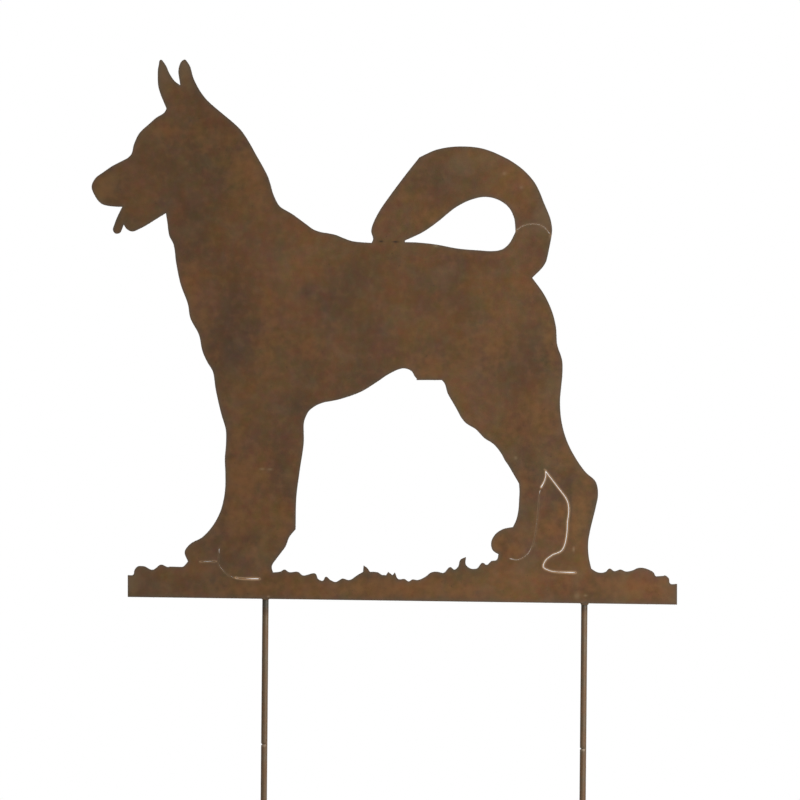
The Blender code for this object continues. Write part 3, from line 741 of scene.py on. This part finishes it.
def dogSheet(loops):
    points, inward, run, following, lips, leans, borders = cutEdge(loops)
    edgeCount = len(points)
    tree = edgeTree(points, following)
    rimInset = sheet["rimProfile"][0][0] * mm
    places = [point + normal * rimInset for point, normal in zip(points, inward)]
    places += facePoints(points, inward, tree)
    triangles, used = filledFace(places, borders)
    faceCount = len(used)
    print("sheet: edge points", edgeCount, "face points", faceCount, "face triangles", len(triangles))

    # Points: front face, back face, then the rings of the cut wall between them. A face's first
    # points are its rim.
    thickness = sheetBox[1].y - sheetBox[0].y
    edge = np.array([tuple(p) for p in points])
    normals = np.array([tuple(n) for n in inward])
    leaning = normals * np.array(leans)[:, None]
    flat = np.array([tuple(places[i]) for i in used])
    flatBehind = flat.copy()
    flatBehind[:edgeCount] -= leaning
    eased = sheet["rimProfile"][1:]
    rings = [(inset * mm, depth * mm) for inset, depth in eased]
    rings += [(0.0, depth * mm) for depth in sheet["wallRows"]]
    rings += [(inset * mm, thickness - depth * mm) for inset, depth in reversed(eased)]
    layers = [(flat, 0.0), (flatBehind, thickness)]
    layers += [(edge + normals * inset - leaning * depth / thickness, depth) for inset, depth in rings]
    where = np.concatenate([layer for layer, _ in layers])
    depths = np.concatenate([np.full(len(layer), depth) for layer, depth in layers])
    starts = np.cumsum([0] + [len(layer) for layer, _ in layers])
    total = len(where)
    isBack = np.zeros(total, bool)
    isBack[starts[1]:starts[2]] = True
    onWall = np.arange(total) >= starts[2]

    # What each point carries for the material, and how far it is pushed back
    nearest = [tree.find((x, z, 0.0)) for x, z in flat]
    distance = np.array([found[2] for found in nearest])
    distance = np.concatenate([distance, distance, np.zeros(total - starts[2])])
    lips = np.array(lips)
    nearLips = lips[[found[1] for found in nearest]]
    nearLips = np.concatenate([nearLips, nearLips] + [np.minimum(1, 2 * lips)] * len(rings))
    fields = sheetFields(where, isBack, onWall, distance, nearLips)
    wall = onWall.astype(float)
    for ring in (2, len(rings) + 1):
        wall[starts[ring]:starts[ring + 1]] = sheet["ringRust"]
    fields["wall"] = wall
    push = sheetPush(where, isBack, onWall, fields)

    # Faces: both flat ones, then a strip of quads from each ring to the next, with the run along the
    # cut and the depth as its map
    faceAt = np.full(len(places), -1)
    faceAt[used] = np.arange(faceCount)
    frontFaces = faceAt[triangles]
    backFaces = frontFaces[:, ::-1] + starts[1]
    here = np.arange(edgeCount)
    after = np.array(following)
    ladder = [0, *starts[2:-1], starts[1]]
    ringDepth = [0.0] + [depth for _, depth in rings] + [thickness]
    runHere = np.array(run)
    runAfter = runHere + np.linalg.norm(edge[after] - edge, axis=1)
    quads = []
    quadRun = []
    for k in range(len(ladder) - 1):
        upper, lower = ladder[k], ladder[k + 1]
        quads.append(np.column_stack([upper + here, lower + here, lower + after, upper + after]))
        deep = np.full(edgeCount, ringDepth[k])
        deeper = np.full(edgeCount, ringDepth[k + 1])
        quadRun.append(np.stack([
            np.column_stack([runHere, deep]), np.column_stack([runHere, deeper]),
            np.column_stack([runAfter, deeper]), np.column_stack([runAfter, deep])], axis=1).reshape(-1, 2))
    coords = np.column_stack([where[:, 0], sheetBox[0].y + depths + push, where[:, 1]])
    mesh = bpy.data.meshes.new("rusted_dog_sheet")
    mesh.from_pydata(coords.tolist(), [], np.concatenate([frontFaces, backFaces]).tolist()
                     + np.concatenate(quads).tolist())
    flatCorners = np.zeros((6 * len(frontFaces), 2))
    layer = mesh.uv_layers.new(name="cutRun")
    layer.data.foreach_set("uv", np.concatenate([flatCorners] + quadRun).astype(np.float32).ravel())
    for name, values in fields.items():
        setField(mesh, name, values)
    mesh.materials.append(sheetFinish)
    mesh.shade_smooth()
    mesh.update()
    return newObject("rusted_dog_sheet", mesh)


# Stakes: each a drawn rod welded behind the strip, and a pointed spike that plugs into its end
stakes = {
    "nodes": (("left_stake_rod", "left_ground_spike"), ("right_stake_rod", "right_ground_spike")),
    "sides": 48,
    "row": 2.0 * mm,
    "rodDiameter": 6.35 * mm,
    "chamfer": 0.85 * mm,
    "chamferMiddle": (0.2, 0.72),   # inset and depth of the row between, as shares of it
    "jointGap": 0.144 * mm,         # each end's share. Open on the left; on the right the two touch
    "jointDrop": 0.9 * mm,          # how much lower the photograph shows the joint than the solids
    "jointClosed": (-0.05, 0.75),   # from open to closed, in radii from the axis to the right
    "jointWearHighlight": 0.85,              # bare metal and a painted highlight on the spike's top edge, where the joint is open
    "wearHighlightReach": 1.4 * mm,
    "wearHighlightEnds": (0.3, 0.7),         # where the wear and its painted highlight fade, in radii to the right
    "endEase": 0.35 * mm,
    "easeMiddle": 0.3,
    "socketWall": 1.5 * mm,
    "socketDepth": 11 * mm,
    "plugLength": 10 * mm,
    "plugClearance": 0.15 * mm,
    "pointLength": 22 * mm,
    "tipDiameter": 1.2 * mm,
    "coneRows": (0.03, 0.25, 0.5, 0.75, 0.97),
    "tipRound": ((0.9, 0.15 * mm), (0.5, 0.0)),     # share of the tip's radius, height over its end
    "unevenness": 0.03 * mm,
    "unevenSize": 3.5 * mm,
    "unevenLength": 10 * mm,
    "sharpAngle": math.radians(38),
    "scaleReach": {"left_stake_rod": (5 * mm, 19 * mm), "right_stake_rod": (0.5 * mm, 10.5 * mm)},
}


def stakeAxis(node):
    # Centres of a stake piece's top and bottom end faces, from its CAD node.
    points = np.array([v.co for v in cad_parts[node].data.vertices])
    ends = []
    for height in (points[:, 2].max(), points[:, 2].min()):
        level = points[abs(points[:, 2] - height) < 0.06 * mm]
        ends.append(Vector((level.min(0) + level.max(0)) / 2))
    return ends


def turned(name, profile, top, bottom, finish):
    # A closed round body. Each row of its profile has a radius and a distance below the top, and says
    # whether it is at the joint, and how much lower it lies where the joint is closed.
    down = (bottom - top).normalized()
    sideways = (Vector((1, 0, 0)) - down * down.x).normalized()
    across = down.cross(sideways)
    sides = stakes["sides"]
    widest = stakes["rodDiameter"] / 2
    flatter = stakes["unevenSize"] / stakes["unevenLength"]
    start, end = stakes["jointClosed"]
    bm = bmesh.new()
    rows = []
    for radius, depth, onJoint, lower in profile:
        row = []
        for k in range(sides):
            angle = 2 * math.pi * k / sides
            out = sideways * math.cos(angle) + across * math.sin(angle)
            closed = min(1.0, max(0.0, (math.cos(angle) - start) / (end - start))) * onJoint
            reach = radius + (widest - radius) * closed
            point = top + down * (depth + closed * lower) + out * reach
            swell = noise.noise(Vector((point.x, point.y, point.z * flatter)) / stakes["unevenSize"])
            full = reach > widest - 0.1 * mm
            row.append(bm.verts.new(point + out * swell * stakes["unevenness"] * full))
        rows.append(row)
    for upper, lower in zip(rows, rows[1:]):
        for k in range(sides):
            j = (k + 1) % sides
            bm.faces.new((upper[k], upper[j], lower[j], lower[k]))
    for row, depth in ((rows[0], profile[0][1]), (rows[-1], profile[-1][1])):
        middle = bm.verts.new(top + down * depth)
        for k in range(sides):
            bm.faces.new((row[k], middle, row[(k + 1) % sides]))
    bmesh.ops.recalc_face_normals(bm, faces=bm.faces)
    mesh = bpy.data.meshes.new(name)
    bm.to_mesh(mesh)
    bm.free()
    mesh.materials.append(finish)
    mesh.shade_smooth()
    mesh.set_sharp_from_angle(angle=stakes["sharpAngle"])
    return newObject(name, mesh)


def plainRows(*rows):
    return [(radius, depth, False, 0.0) for radius, depth in rows]


def straight(radius, start, end):
    count = max(2, round((end - start) / stakes["row"]))
    return plainRows(*[(radius, start + (end - start) * k / count) for k in range(count + 1)])


def jointRows(end, inward):
    # The eased edge and the end face of a rod's or a spike's joint. Inward is the way to its middle.
    radius = stakes["rodDiameter"] / 2
    edge = stakes["chamfer"]
    inset, depth = stakes["chamferMiddle"]
    return [(radius - inset * edge, end + inward * depth * edge, True, 0.0),
            (radius - edge, end, True, -inward * stakes["jointGap"])]


def rodProfile(length):
    radius = stakes["rodDiameter"] / 2
    ease = stakes["endEase"]
    middle = stakes["easeMiddle"] * ease
    socket = radius - stakes["socketWall"]
    return (
        plainRows((radius - ease, 0.0), (radius - middle, middle))
        + straight(radius, ease, length - stakes["chamfer"]) + jointRows(length, -1)
        + plainRows((socket, length), (socket, length - stakes["socketDepth"])))


def spikeProfile(length):
    radius = stakes["rodDiameter"] / 2
    plug = radius - stakes["socketWall"] - stakes["plugClearance"]
    shoulder = stakes["plugLength"]
    tip = stakes["tipDiameter"] / 2
    pointStart = length - stakes["pointLength"]
    cone = [(radius + (tip - radius) * t, pointStart + (length - pointStart) * t)
            for t in stakes["coneRows"]]
    cone += [(tip * share, length - height) for share, height in stakes["tipRound"]]
    return (
        plainRows((plug, 0.0), (plug, shoulder)) + jointRows(shoulder, 1)[::-1]
        + straight(radius, shoulder + stakes["chamfer"], pointStart - 0.4 * mm)
        + plainRows(*cone))


def stake(rodNode, spikeNode):
    made = []
    for node, profileOf in ((rodNode, rodProfile), (spikeNode, spikeProfile)):
        top, bottom = stakeAxis(node)
        drop = (bottom - top).normalized() * stakes["jointDrop"]
        if node == rodNode:
            bottom += drop
        else:
            top += drop
        body = turned("rusted_" + node, profileOf((bottom - top).length), top, bottom, rodFinish)
        points = np.array([v.co for v in body.data.vertices])
        full, end = stakes["scaleReach"].get(node, (-1.0, 0.0))
        setField(body.data, "scale", np.clip((points[:, 2] + end) / (end - full), 0, 1))
        along = (points - np.array(top)) @ np.array((bottom - top).normalized()) - stakes["plugLength"]
        # Bare metal with a painted highlight along the spike's top edge at the joint
        wearHighlight = np.clip(1 - along / stakes["wearHighlightReach"], 0, 1) * (along > -0.1 * mm)
        right = (points[:, 0] - top.x) / (stakes["rodDiameter"] / 2)
        fades, gone = stakes["wearHighlightEnds"]
        openSide = np.clip((gone - right) / (gone - fades), 0, 1)
        setField(body.data, "wornHighlight", stakes["jointWearHighlight"] * wearHighlight * openSide * (node == spikeNode))
        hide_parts(node)
        made.append(body)
    return made


# Welds: rippled beads beside each rod that meet under the strip, drops along the back of the cuts,
# and spatter round the welds. Each is a Geometry Nodes tree that is turned into a plain mesh.
welds = {
    "beadRadius": 1.35 * mm,
    "beadBeside": 0.25,             # of its radius: outside the rod's side
    "beadBack": (-0.1, 0.75),       # of its radius: behind the sheet, under the strip and higher up
    "beadStep": 0.16 * mm,
    "beadSides": 14,
    "ripplePitch": 1.1 * mm,
    "rippleHeight": 0.20,
    "rippleFloor": 0.92,
    "unevenSize": 3.0,              # millimetres
    "uneven": (0.75, 1.25),
    "taper": (0.035, 0.25),         # over this share of the run, down to this share of the radius
    # Half a bead: places sideways (1 is beside the rod), backwards (0 is under the strip), height,
    # and share of the drop
    "beadPath": ((1, 1, 15.5 * mm, 0), (1, 1, 4.65 * mm, 0), (1, 1, 2.2 * mm, 0),
                 (0.75, 0.5, 1.0 * mm, 1), (0.35, 0, 0.7 * mm, 1)),
    "beadDrop": {"left_stake_rod": 0.4 * mm, "right_stake_rod": 1.1 * mm},
    "dropFaces": (8, 5),            # segments and rings
    "dropStretch": (0.8, 1.5),
    "drossSpacing": 3.0 * mm,
    "drossKept": 0.225,             # higher keeps more of the drops
    "drossClump": 30.0,             # millimetres
    "drossRadius": (0.18 * mm, 0.45 * mm),
    "drossFlatness": 0.7,
    "drossInset": 0.12 * mm,
    "drossLift": 0.05 * mm,
    "spatterPerSquareMetre": 130000.0,
    "spatterFocus": 3.0,            # higher keeps it closer to the weld
    "spatterRadius": (0.18 * mm, 0.5 * mm),
    "spatterFlatness": 0.6,
    "seed": 5,
}


def nodeTree(name, **sockets):
    tree = bpy.data.node_groups.new(name, "GeometryNodeTree")
    tree.interface.new_socket("Geometry", in_out="INPUT", socket_type="NodeSocketGeometry")
    for label, kind in sockets.items():
        tree.interface.new_socket(label, in_out="INPUT", socket_type="NodeSocket" + kind)
    tree.interface.new_socket("Geometry", in_out="OUTPUT", socket_type="NodeSocketGeometry")
    return tree, add(tree, "NodeGroupInput").outputs


def closeTree(tree, geometry, finish):
    real = add(tree, "GeometryNodeRealizeInstances", {0: geometry})
    painted = add(tree, "GeometryNodeSetMaterial", {0: real, "Material": finish})
    add(tree, "NodeGroupOutput", {0: painted})


def grown(name, base, tree, values):
    # Runs a tree on an object and keeps the result as a plain mesh.
    holder = newObject(name + "_base", base)
    modifier = holder.modifiers.new("grow", "NODES")
    modifier.node_group = tree
    for item in tree.interface.items_tree:
        if item.item_type == "SOCKET" and item.in_out == "INPUT" and item.name in values:
            modifier[item.identifier] = values[item.name]
    evaluated = holder.evaluated_get(bpy.context.evaluated_depsgraph_get())
    mesh = bpy.data.meshes.new_from_object(evaluated)
    mesh.name = name
    bpy.data.objects.remove(holder)
    made = newObject(name, mesh)
    print(name, len(mesh.polygons), "faces")
    return made


def beadTree():
    tree, given = nodeTree("weld bead", Radius="Float", Pitch="Float", Ripple="Float", Finish="Material")
    path = add(tree, "GeometryNodeResampleCurve", {
        0: given["Geometry"], "Length": welds["beadStep"]}, mode="LENGTH")
    along = add(tree, "GeometryNodeSplineParameter")
    uneven = add(tree, "ShaderNodeTexNoise", {"Scale": perMetre(welds["unevenSize"])})
    wide = add(tree, "ShaderNodeMapRange", {
        "Value": uneven, "To Min": welds["uneven"][0], "To Max": welds["uneven"][1]})
    fromEnd = add(tree, "ShaderNodeMath", {0: 1.0, 1: along.outputs["Factor"]}, operation="SUBTRACT")
    nearEnd = add(tree, "ShaderNodeMath", {0: fromEnd, 1: along.outputs["Factor"]}, operation="MINIMUM")
    taper = add(tree, "ShaderNodeMapRange", {
        "Value": nearEnd, "From Max": welds["taper"][0], "To Min": welds["taper"][1]},
        interpolation_type="SMOOTHSTEP")
    size = along.outputs["Length"]
    for operation, *others in (
            ("DIVIDE", given["Pitch"]), ("MULTIPLY", math.pi), ("SINE",), ("ABSOLUTE",),
            ("MULTIPLY_ADD", given["Ripple"], welds["rippleFloor"]),
            ("MULTIPLY", wide), ("MULTIPLY", taper)):
        size = add(tree, "ShaderNodeMath", dict(enumerate((size, *others))), operation=operation)
    ring = add(tree, "GeometryNodeCurvePrimitiveCircle", {
        "Resolution": welds["beadSides"], "Radius": given["Radius"]})
    bead = add(tree, "GeometryNodeCurveToMesh", {
        "Curve": path, "Profile Curve": ring, "Scale": size, "Fill Caps": True})
    smooth = add(tree, "GeometryNodeSetShadeSmooth", {0: bead})
    closeTree(tree, smooth, given["Finish"])
    return tree


def weldBeads():
    # One run of bead a stake: down one side of the rod, under the strip's edge and up the other side.
    curve = bpy.data.curves.new("weld_path", "CURVE")
    curve.dimensions = "3D"
    side = stakes["rodDiameter"] / 2 + welds["beadBeside"] * welds["beadRadius"]
    shallow, deep = (sheetBox[1].y + share * welds["beadRadius"] for share in welds["beadBack"])
    for rodNode, _ in stakes["nodes"]:
        top, bottom = stakeAxis(rodNode)
        leg = [(side * out, shallow + (deep - shallow) * back, z - share * welds["beadDrop"][rodNode])
               for out, back, z, share in welds["beadPath"]]
        knots = [(-x, y, z) for x, y, z in leg] + leg[::-1]
        spline = curve.splines.new("BEZIER")
        spline.bezier_points.add(len(knots) - 1)
        for knot, (x, y, z) in zip(spline.bezier_points, knots):
            centre = top + (bottom - top) * ((top.z - z) / (top.z - bottom.z))
            knot.co = (centre.x + x, y, z)
            knot.handle_left_type = knot.handle_right_type = "AUTO"
        spline.resolution_u = 24
    return grown("weld_beads", curve, beadTree(), {
        "Radius": welds["beadRadius"], "Pitch": welds["ripplePitch"], "Ripple": welds["rippleHeight"],
        "Finish": weldFinish})


def spreadOnBack(tree, given):
    # Points on faces that look backwards, the closer together the hotter the weld made them.
    heat = add(tree, "GeometryNodeInputNamedAttribute", {"Name": "heat"}, data_type="FLOAT")
    focus = add(tree, "ShaderNodeMath", {0: heat, 1: welds["spatterFocus"]}, operation="POWER")
    density = add(tree, "ShaderNodeMath", {0: focus, 1: given["Density"]}, operation="MULTIPLY")
    facing = add(tree, "ShaderNodeSeparateXYZ", {0: add(tree, "GeometryNodeInputNormal")})
    behind = add(tree, "FunctionNodeCompare", {0: facing.outputs["Y"], 1: 0.5}, operation="GREATER_THAN")
    spread = add(tree, "GeometryNodeDistributePointsOnFaces", {
        "Mesh": given["Geometry"], "Density": density, "Selection": behind,
        "Seed": given["Seed"]})
    return spread.outputs["Points"], spread.outputs["Rotation"]


def spreadOnLines(tree, given):
    # Points along lines, with gaps between clumps of them.
    path = add(tree, "GeometryNodeMeshToCurve", {0: given["Geometry"]})
    spread = add(tree, "GeometryNodeCurveToPoints", {
        0: path, "Length": welds["drossSpacing"]}, mode="LENGTH")
    clump = add(tree, "ShaderNodeTexNoise", {"Scale": perMetre(welds["drossClump"]), "Detail": 1.0})
    chance = add(tree, "FunctionNodeRandomValue", {"Seed": given["Seed"]}, data_type="FLOAT")
    likely = add(tree, "ShaderNodeMath", {0: clump, 1: chance}, operation="MULTIPLY")
    few = add(tree, "FunctionNodeCompare", {0: likely, 1: given["Density"]}, operation="GREATER_THAN")
    kept = add(tree, "GeometryNodeDeleteGeometry", {0: spread, 1: few}, domain="POINT")
    return kept, spread.outputs["Rotation"]


def dropTree(name, spread):
    # Small drops of metal on the points that the given function spreads.
    tree, given = nodeTree(name, Smallest="Float", Largest="Float", Density="Float", Flatness="Float",
                           Seed="Int", Finish="Material")
    points, turn = spread(tree, given)
    segments, rings = welds["dropFaces"]
    drop = add(tree, "GeometryNodeMeshUVSphere", {"Segments": segments, "Rings": rings, "Radius": 1.0})
    drop = add(tree, "GeometryNodeSetShadeSmooth", {0: drop})
    size = add(tree, "FunctionNodeRandomValue", {
        2: given["Smallest"], 3: given["Largest"], "Seed": given["Seed"]}, data_type="FLOAT")
    shortest, longest = welds["dropStretch"]
    long = add(tree, "FunctionNodeRandomValue", {2: shortest, 3: longest, "Seed": 3}, data_type="FLOAT")
    stretch = add(tree, "ShaderNodeMath", {0: size, 1: long}, operation="MULTIPLY")
    flat = add(tree, "ShaderNodeMath", {0: size, 1: given["Flatness"]}, operation="MULTIPLY")
    scale = add(tree, "ShaderNodeCombineXYZ", {0: stretch, 1: size, 2: flat})
    drops = add(tree, "GeometryNodeInstanceOnPoints", {
        "Points": points, "Instance": drop, "Rotation": turn, "Scale": scale})
    closeTree(tree, drops, given["Finish"])
    return tree


def cutDross(loops):
    # Drops of metal that the flame left along the back of the cut.
    mesh = bpy.data.meshes.new("cut_lines")
    points = []
    lines = []
    inset = welds["drossInset"]
    lift = sheetBox[1].y + welds["drossLift"]
    for loop in loops:
        first = len(points)
        points += [(p.x + inset * n.x, lift, p.y + inset * n.y) for p, n in zip(loop, inwardNormals(loop))]
        lines += [(first + i, first + (i + 1) % len(loop)) for i in range(len(loop))]
    mesh.from_pydata(points, lines, [])
    low, high = welds["drossRadius"]
    return grown("cut_dross", mesh, dropTree("dross along the cuts", spreadOnLines), {
        "Smallest": low, "Largest": high, "Density": welds["drossKept"], "Flatness": welds["drossFlatness"],
        "Seed": welds["seed"], "Finish": sheetFinish})


def weldSpatter(sheetObject):
    low, high = welds["spatterRadius"]
    return grown("weld_spatter", sheetObject.data.copy(), dropTree("spatter round the welds", spreadOnBack), {
        "Smallest": low, "Largest": high, "Density": welds["spatterPerSquareMetre"],
        "Flatness": welds["spatterFlatness"], "Seed": welds["seed"] + 1, "Finish": weldFinish})


cutLoops = [smoothLoop(straightened(loop)) for loop in frontLoops("dog_silhouette_sheet")]
dogPiece = dogSheet(cutLoops)
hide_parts("dog_silhouette_sheet")
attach(dogPiece, "root")
print("sheet made:", len(dogPiece.data.polygons), "faces")

for nodes in stakes["nodes"]:
    for body in stake(*nodes):
        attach(body, "root")
print("stakes made")

for piece, slotName in ((weldBeads(), "rusted_rod"), (cutDross(cutLoops), "rusted_sheet"),
                        (weldSpatter(dogPiece), "rusted_rod")):
    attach(piece, "root")
print("welds and dross made")


# A pale round floor under the points of the stakes, plain soft light and the photograph's view
stageSet = {
    "floorRadius": 0.8,
    "floorColour": "#D9D7D2",
    "floorRoughness": 0.9,
    "floorGap": 0.3 * mm,
    "worldDim": 0.36,           # light from the left
    "worldBright": 0.85,        # light from the right
    "worldTurn": 0.9,           # how far out to each side the light still changes
    "lampSize": 0.9,
    "lampAim": (0, 0, 0.2),
    "lamps": {                  # place and power, in front and behind, both to the right
        "front_lamp": ((0.85, -1.05, 0.20), 12.5),
        "back_lamp": ((0.95, 1.30, 0.75), 12.0)},
}


def floorDisc():
    bm = bmesh.new()
    bmesh.ops.create_circle(bm, cap_ends=True, segments=128, radius=stageSet["floorRadius"])
    bmesh.ops.translate(bm, verts=bm.verts, vec=(0, 0, cadBox[0].z - stageSet["floorGap"]))
    mesh = bpy.data.meshes.new("pale_floor")
    bm.to_mesh(mesh)
    bm.free()
    made, tree, shader = newMaterial("pale matt floor")
    join(tree, shader, {
        "Base Color": linear(stageSet["floorColour"]), "Roughness": stageSet["floorRoughness"]})
    mesh.materials.append(made)
    return newObject("pale_floor", mesh)


def studioWorld():
    # The camera sees plain white. The object is lit by a soft gradient, brighter from the right.
    world = bpy.data.worlds.new("soft studio")
    world.use_nodes = True
    tree = world.node_tree
    tree.nodes.clear()
    place = add(tree, "ShaderNodeTexCoord").outputs["Generated"]
    side = add(tree, "ShaderNodeSeparateXYZ", {0: place})
    level = add(tree, "ShaderNodeMapRange", {
        "Value": side.outputs["X"], "From Min": -stageSet["worldTurn"], "From Max": stageSet["worldTurn"],
        "To Min": stageSet["worldDim"], "To Max": stageSet["worldBright"]}, interpolation_type="SMOOTHSTEP")
    light = add(tree, "ShaderNodeBackground", {"Color": (1, 1, 1, 1), "Strength": level})
    white = add(tree, "ShaderNodeBackground", {"Color": (1, 1, 1, 1), "Strength": 1.0})
    seen = add(tree, "ShaderNodeLightPath").outputs["Is Camera Ray"]
    mixed = add(tree, "ShaderNodeMixShader", {0: seen, 1: light, 2: white})
    add(tree, "ShaderNodeOutputWorld", {0: mixed})
    bpy.context.scene.world = world


def lamps():
    for name, (place, power) in stageSet["lamps"].items():
        lamp = bpy.data.lights.new(name, "AREA")
        lamp.shape = "DISK"
        lamp.size = stageSet["lampSize"]
        lamp.energy = power
        made = newObject(name, lamp)
        made.location = place
        beam = Vector(stageSet["lampAim"]) - made.location
        made.rotation_euler = beam.to_track_quat("-Z", "Y").to_euler()


def camera():
    centre = fromPhoto(photo["side"] / 2, photo["side"] / 2)
    lens = bpy.data.cameras.new("photo_camera")
    lens.sensor_width = photo["sensor"]
    lens.lens = photo["sensor"] * photo["cameraDistance"] / (photo["side"] * pixel)
    made = newObject("photo_camera", lens)
    made.location = (centre.x, sheetBox[0].y - photo["cameraDistance"], centre.y)
    made.rotation_euler = (math.pi / 2, -photoTilt, 0)
    bpy.context.scene.camera = made


floorDisc()
studioWorld()
lamps()
camera()
bpy.context.scene.view_settings.view_transform = "Standard"
print("stage, light and camera set")
